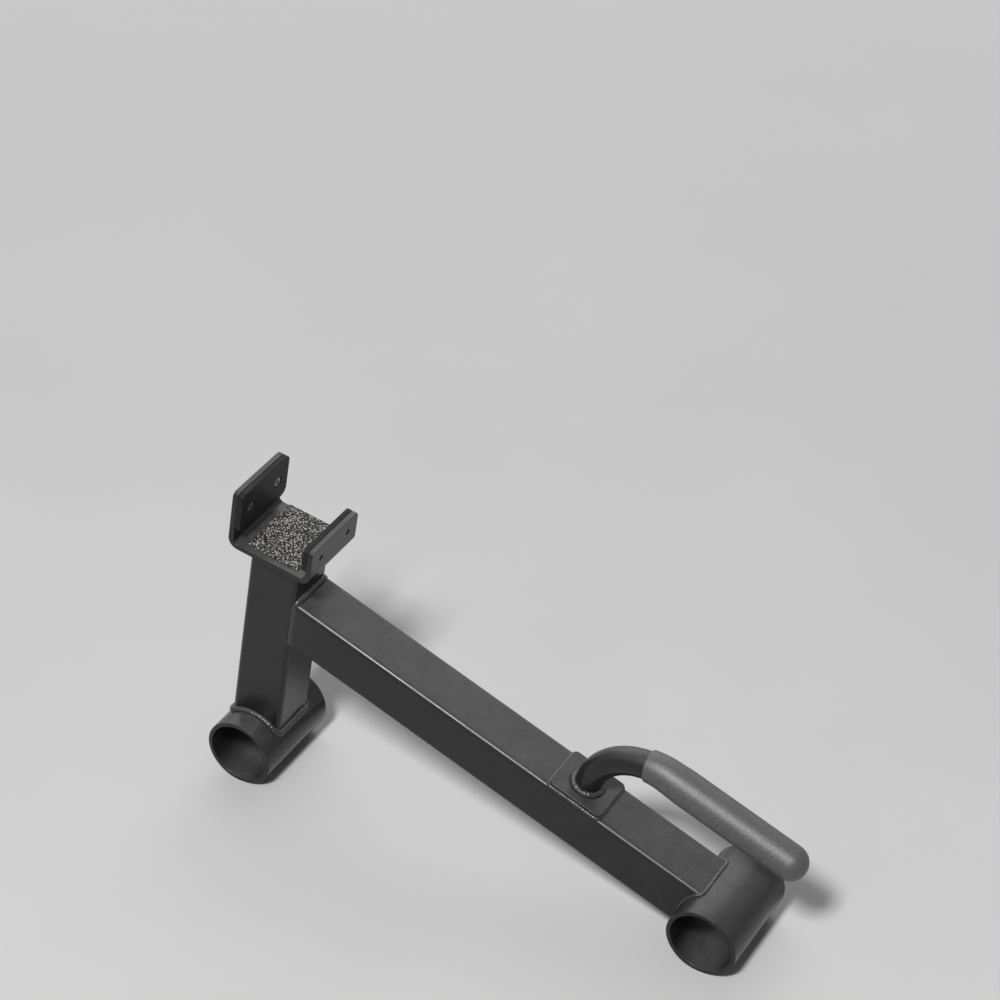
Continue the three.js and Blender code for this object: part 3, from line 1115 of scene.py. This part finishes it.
@dataclass
class Handle:
    """The plate on the arm, the bent tube and its sleeve."""

    finishes: Finishes
    plate_size: Triple = (53 * MM, 47 * MM, 4 * MM)
    plate_corner: float = 4 * MM
    plate_edge: float = 0.6 * MM
    tube_radius: float = 12.5 * MM
    tube_wall: float = 2.5 * MM
    height: float = 71.5 * MM
    bend: float = 58 * MM
    bend_steps: int = 32
    sides: int = 64
    grip_radius: float = 16 * MM
    grip_start_radius: float = 14.25 * MM
    grip_edge: float = 0.6 * MM
    reach: float = 195.4 * MM
    taper: float = 35 * MM
    on_bend: float = 20 * MM
    taper_steps: int = 8
    end_wall: float = 12 * MM

    @property
    def start(self) -> float:
        """The height of the tube's foot above the arm's top."""
        return 2 * CLEARANCE + self.plate_size[Z_AXIS]

    @property
    def bend_centre(self) -> Triple:
        """The middle of the bend."""
        return (self.bend, 0, self.height - self.bend)

    @property
    def straight(self) -> float:
        """The sleeve's straight length, from the bend to its round end."""
        return self.reach - self.bend - self.grip_radius

    def build_plate(self) -> None:
        """Builds the plate under the handle."""
        plate = add_box(self.plate_size, (0, 0, CLEARANCE + self.plate_size[Z_AXIS] / 2))
        round_edges(plate, Z_AXIS, self.plate_corner)
        soften(plate, self.plate_edge)
        hand_over(plate, HANDLE_FRAME, "handle_plate", self.finishes.coat)

    def build_tube(self) -> None:
        """Builds the tube: up from the plate, bent a quarter turn, then straight."""
        add = bpy.ops.mesh.primitive_circle_add
        foot = (0, 0, self.start)
        tube = add_primitive(add, vertices=self.sides, radius=self.tube_radius, location=foot)
        with editing(tube):
            bpy.ops.mesh.select_all(action="SELECT")
            extrude((0, 0, self.height - self.bend - self.start))
            draw_round(self.bend_centre, QUARTER_TURN, self.bend_steps)
            extrude((self.straight + self.grip_radius - self.end_wall, 0, 0))
            close_shell()
        thicken(tube, self.tube_wall)
        hand_over(tube, HANDLE_FRAME, "handle_tube", self.finishes.coat)

    def narrow(self, done: float, stretch: float) -> None:
        """Narrows the selected ring of the sleeve, in edit mode.

        Args:
            done: How much of the taper lies behind the ring before it.
            stretch: The ring's distance from that one.
        """
        loss = (self.grip_radius - self.grip_start_radius) / self.taper
        before = self.grip_radius - loss * done
        factor = (before - loss * stretch) / before
        bpy.ops.transform.resize(value=(factor, factor, factor))

    def build_grip(self) -> None:
        """Builds the sleeve: a round end drawn back along the tube and round the end of its bend."""
        end = self.bend + self.straight
        grip = add_primitive(
            bpy.ops.mesh.primitive_uv_sphere_add,
            segments=self.sides,
            ring_count=self.sides // 2,
            radius=self.grip_radius,
            location=(end, 0, self.height),
            rotation=ALONG_X,
        )
        on_straight = self.taper - self.on_bend
        stretch = self.on_bend / self.taper_steps
        with editing(grip):
            pick(grip, Pick.VERTS, lambda vert: vert.co.x < end - CLEARANCE)
            bpy.ops.mesh.delete(type="VERT")
            pick(grip, Pick.EDGES, lambda edge: edge.is_boundary)
            extrude((on_straight - self.straight, 0, 0))
            extrude((-on_straight, 0, 0))
            self.narrow(0, on_straight)
            for step in range(self.taper_steps):
                draw_round(self.bend_centre, -stretch / self.bend, 1)
                self.narrow(on_straight + step * stretch, stretch)
            close_shell()
        thicken(grip, self.grip_start_radius - self.tube_radius - CLEARANCE)
        soften(grip, self.grip_edge)
        hand_over(grip, HANDLE_FRAME, "handle_grip", self.finishes.sleeve)

    def build(self) -> None:
        """Builds the whole handle."""
        self.build_plate()
        self.build_tube()
        self.build_grip()


def rounded_outline(width: float, depth: float, corner: float, steps: int = 10) -> list[Pair]:
    """Lists the corner points of a rounded rectangle about the origin.

    Args:
        width: Its size along the first axis.
        depth: Its size along the second.
        corner: The corners' radius.
        steps: The flats of each corner.

    Returns:
        The points, once round.
    """
    points = []
    for turn, (x, y) in enumerate(((1, 1), (-1, 1), (-1, -1), (1, -1))):
        across, along = x * (width / 2 - corner), y * (depth / 2 - corner)
        for step in range(steps + 1):
            angle = (turn + step / steps) * QUARTER_TURN
            points.append((across + corner * math.cos(angle), along + corner * math.sin(angle)))
    return points


def spaced(points: list[Pair], gap: float) -> list[Pair]:
    """Spaces points evenly along a closed outline.

    Args:
        points: The outline's points.
        gap: The distance wanted between two points.

    Returns:
        The new points, about that far apart.
    """
    closed = [Vector(point) for point in [*points, points[0]]]
    lengths = [(b - a).length for a, b in zip(closed, closed[1:])]
    count = round(sum(lengths) / gap)
    step = sum(lengths) / count
    result = []
    index, passed = 0, 0.0
    for number in range(count):
        wanted = number * step
        while passed + lengths[index] < wanted:
            passed += lengths[index]
            index += 1
        share = (wanted - passed) / lengths[index]
        result.append(tuple(closed[index].lerp(closed[index + 1], share)))
    return result


@dataclass
class WeldBead:
    """A rippled bead round a closed seam."""

    name: str
    outline: list[Pair]
    radius: float
    place: Matrix
    seed: int
    on_foot: bool = False
    ripple: float = 2.4 * MM
    ripple_spread: Pair = (0.6, 1.5)
    depth: float = 0.09
    depth_spread: Pair = (0.2, 1.0)
    unevenness: float = 0.1
    wander: float = 0.4 * MM
    waves: int = 4
    wave_counts: tuple[int, int] = (2, 9)
    gap: float = 0.4 * MM
    side_steps: int = 4

    def height(self, x: float) -> float:
        """Returns the seam's height at a distance from its middle, over a foot's round or flat."""
        return math.sqrt(FOOT_RADIUS**2 - x**2) if self.on_foot else 0.0

    def swells(self, count: int) -> list[float]:
        """Lists how thick the bead is at each of its points, as a share of its radius.

        Args:
            count: The number of points.

        Returns:
            The shares: ripples of uneven length and depth.
        """
        chance = random.Random(self.seed)
        shares: list[float] = []
        while len(shares) < count:
            steps = round(chance.uniform(*self.ripple_spread) * self.ripple / self.gap)
            depth = self.depth * chance.uniform(*self.depth_spread)
            shares += [1 - depth * math.cos(math.pi * step / steps) ** 2 for step in range(steps)]
        return shares[:count]

    def drift(self, count: int) -> list[float]:
        """Lists how the bead drifts at each of its points, from -1 to 1, in slow waves.

        Args:
            count: The number of points.

        Returns:
            The drift.
        """
        chance = random.Random(self.seed)
        waves = [(chance.randint(*self.wave_counts), chance.random()) for _ in range(self.waves)]
        return [
            sum(math.sin(math.tau * (number * step / count + start)) for number, start in waves) / self.waves
            for step in range(count)
        ]

    def build(self, material: Material) -> None:
        """Draws the bead along its seam.

        Args:
            material: Its finish.
        """
        points = spaced(self.outline, self.gap)
        count = len(points)
        curve = bpy.data.curves.new(self.name, "CURVE")
        curve.dimensions = "3D"
        curve.bevel_depth = self.radius
        curve.bevel_resolution = self.side_steps
        spline = curve.splines.new("POLY")
        spline.use_cyclic_u = True
        spline.points.add(count - 1)
        for point, (x, y), swell, drift in zip(spline.points, points, self.swells(count), self.drift(count)):
            point.co = (x, y, self.height(x) + self.wander * drift, 1.0)
            point.radius = swell * (1 + self.unevenness * drift)
        select_only(add_object(self.name, curve))
        bpy.ops.object.convert(target="MESH")
        bead = bpy.context.object
        with editing(bead):
            close_shell()
        hand_over(bead, self.place, self.name, material)


@dataclass
class Welds:
    """All six beads."""

    finishes: Finishes
    handle: Handle
    post_foot_radius: float = 3.7 * MM
    arm_foot_radius: float = 2.2 * MM
    arm_radius: float = 4 * MM
    arm_inset: float = 3 * MM
    cradle_radius: float = 3.5 * MM
    plate_radius: float = 2 * MM
    tube_radius: float = 4 * MM
    handle_ripple: float = 2 * MM

    def beads(self) -> list[WeldBead]:
        """Lists the beads with their seams.

        Returns:
            The beads.
        """
        handle = self.handle
        tube = rounded_outline(TUBE_SIDE, TUBE_SIDE, TUBE_CORNER)
        arm_height = TUBE_SIDE / math.cos(ARM_SLOPE - POST_LEAN)
        arm_end = rounded_outline(TUBE_SIDE - 2 * self.arm_inset, arm_height, TUBE_CORNER)
        plate = rounded_outline(handle.plate_size[X_AXIS], handle.plate_size[Y_AXIS], handle.plate_corner)
        ring = rounded_outline(2 * handle.tube_radius, 2 * handle.tube_radius, handle.tube_radius)
        across = Matrix.Rotation(QUARTER_TURN, 4, "Z") @ Matrix.Rotation(QUARTER_TURN, 4, "X")
        joint = POST_FRAME @ placed(TUBE_SIDE / 2, ARM_JOIN_HEIGHT) @ across
        top = POST_FRAME @ placed(0, POST_HEIGHT)
        plate_top = HANDLE_FRAME @ placed(0, handle.start - CLEARANCE)
        arm_foot = ARM_FRAME @ ALONG_ARM
        ripple = self.handle_ripple
        return [
            WeldBead("weld_post_foot", tube, self.post_foot_radius, POST_FRAME, seed=3, on_foot=True),
            WeldBead("weld_arm_foot", tube, self.arm_foot_radius, arm_foot, seed=5, on_foot=True),
            WeldBead("weld_arm_post", arm_end, self.arm_radius, joint, seed=7),
            WeldBead("weld_cradle_post", tube, self.cradle_radius, top, seed=11),
            WeldBead("weld_handle_plate", plate, self.plate_radius, HANDLE_FRAME, seed=13, ripple=ripple),
            WeldBead("weld_handle_tube", ring, self.tube_radius, plate_top, seed=17, ripple=ripple),
        ]

    def build(self) -> None:
        """Builds all beads."""
        for bead in self.beads():
            bead.build(self.finishes.weld)


# Floor, light and camera


@dataclass(frozen=True)
class Lamp:
    """A soft lamp: where it hangs, its width and height, and its power in watts."""

    name: str
    place: Triple
    size: Pair
    power: float

    def build(self, target: Triple) -> None:
        """Hangs the lamp.

        Args:
            target: What it looks at.
        """
        lamp = bpy.data.lights.new(self.name, "AREA")
        lamp.shape = "RECTANGLE"
        lamp.size, lamp.size_y = self.size
        lamp.energy = self.power
        holder = add_object(self.name, lamp)
        holder.location = self.place
        aim = Vector(target) - Vector(self.place)
        holder.rotation_euler = aim.to_track_quat("-Z", "Y").to_euler()


@dataclass
class Studio:
    """A plain pale floor, soft light and the camera."""

    floor_size: float = 16.0
    floor_tones: Pair = (0.588, 0.612)
    floor_patch: float = 3.0
    floor_roughness: float = 0.9
    floor_near: float = 0.7
    floor_far: float = 2.4
    backdrop_level: float = 0.6
    world_level: float = 0.15
    target: Triple = (0.0, 0.0, 0.12)
    lamps: tuple[Lamp, Lamp] = (
        Lamp("key_lamp", (0.46, -2.61, 3.75), (0.65, 0.65), 180.0),
        Lamp("back_lamp", (-1.2, 2.24, 2.1), (4.0, 2.8), 40.0),
    )
    camera_place: Triple = (0.97458, -1.67577, 1.8441)
    camera_right: Triple = (0.861675, 0.507455, 0.002312)
    camera_up: Triple = (-0.306602, 0.516978, 0.799205)
    camera_back: Triple = (0.404365, -0.689364, 0.601054)
    focal_px: float = 2999.43
    image_px: float = 1000.0
    sensor: float = 36.0

    def shown(self, sheet: Sheet) -> NodeSocket:
        """Marks the rays that show the background, also in gloss and glass.

        Args:
            sheet: The sheet of the floor or the world.

        Returns:
            1 for these rays and 0 for others.
        """
        rays = sheet.node("ShaderNodeLightPath")
        seen = sheet.math("MAXIMUM", rays["Is Camera Ray"], rays["Is Glossy Ray"])
        return sheet.math("MAXIMUM", seen, rays["Is Transmission Ray"])

    def floor_material(self) -> Material:
        """Builds the floor's material: a faint slow change of tone, and even like a backdrop farther out.

        Returns:
            The material.
        """
        material, sheet, shader = new_material("pale_floor")
        place = sheet.node("ShaderNodeTexCoord")["Object"]
        patches = sheet.ramp(sheet.noise(place, self.floor_patch, detail=3), low=0.3, high=0.7)
        pale = sheet.blend(patches, *(grey(tone, 1.0) for tone in self.floor_tones))
        sheet.feed(shader.inputs["Base Color"], pale)
        shader.inputs["Roughness"].default_value = self.floor_roughness
        distance = sheet.vector_math("LENGTH", place)
        far = sheet.ramp(distance, low=self.floor_near, high=self.floor_far)
        even = sheet.node("ShaderNodeEmission", Color=grey(self.backdrop_level, 1.0), Strength=1.0)
        mix = sheet.tree.nodes.new("ShaderNodeMixShader")
        feeds = (sheet.math("MULTIPLY", far, self.shown(sheet)), shader.outputs["BSDF"], even["Emission"])
        for socket, value in zip(mix.inputs, feeds):
            sheet.feed(socket, value)
        sheet.feed(sheet.found("OUTPUT_MATERIAL").inputs["Surface"], mix.outputs["Shader"])
        return material

    def build_floor(self) -> None:
        """Lays the floor."""
        floor = add_primitive(bpy.ops.mesh.primitive_plane_add, size=self.floor_size)
        floor.name = "floor"
        floor.data.materials.append(self.floor_material())

    def build_world(self) -> None:
        """Fills the surroundings with an even light, and shows them as pale as the floor."""
        world = bpy.data.worlds.new("soft_room")
        world.use_nodes = True
        sheet = Sheet(world.node_tree)
        back = sheet.found("BACKGROUND")
        back.inputs["Color"].default_value = grey(1.0, 1.0)
        extra = self.backdrop_level - self.world_level
        level = sheet.math("MULTIPLY_ADD", self.shown(sheet), extra, self.world_level)
        sheet.feed(back.inputs["Strength"], level)
        bpy.context.scene.world = world

    def build_camera(self) -> None:
        """Puts the camera where the photograph was taken from."""
        data = bpy.data.cameras.new("camera")
        data.sensor_width = self.sensor
        data.lens = self.focal_px / self.image_px * self.sensor
        camera = add_object("camera", data)
        turn = Matrix((self.camera_right, self.camera_up, self.camera_back)).transposed()
        camera.matrix_world = Matrix.Translation(self.camera_place) @ turn.to_4x4()
        bpy.context.scene.camera = camera

    def build(self) -> None:
        """Builds the floor, the light and the camera."""
        self.build_floor()
        self.build_world()
        for lamp in self.lamps:
            lamp.build(self.target)
        self.build_camera()
        bpy.context.scene.view_settings.view_transform = "Standard"


def main() -> None:
    """Builds the jack piece by piece, then the studio round it."""
    logging.basicConfig(level=logging.INFO, format="%(name)s %(message)s")
    finishes = Finishes.build()
    RoundFeet(finishes).build()
    tubes = SquareTubes(finishes)
    tubes.build_post()
    tubes.build_arm()
    Cradle(finishes).build()
    handle = Handle(finishes)
    handle.build()
    Welds(finishes, handle).build()
    Studio().build()


if __name__ == "__main__":
    main()
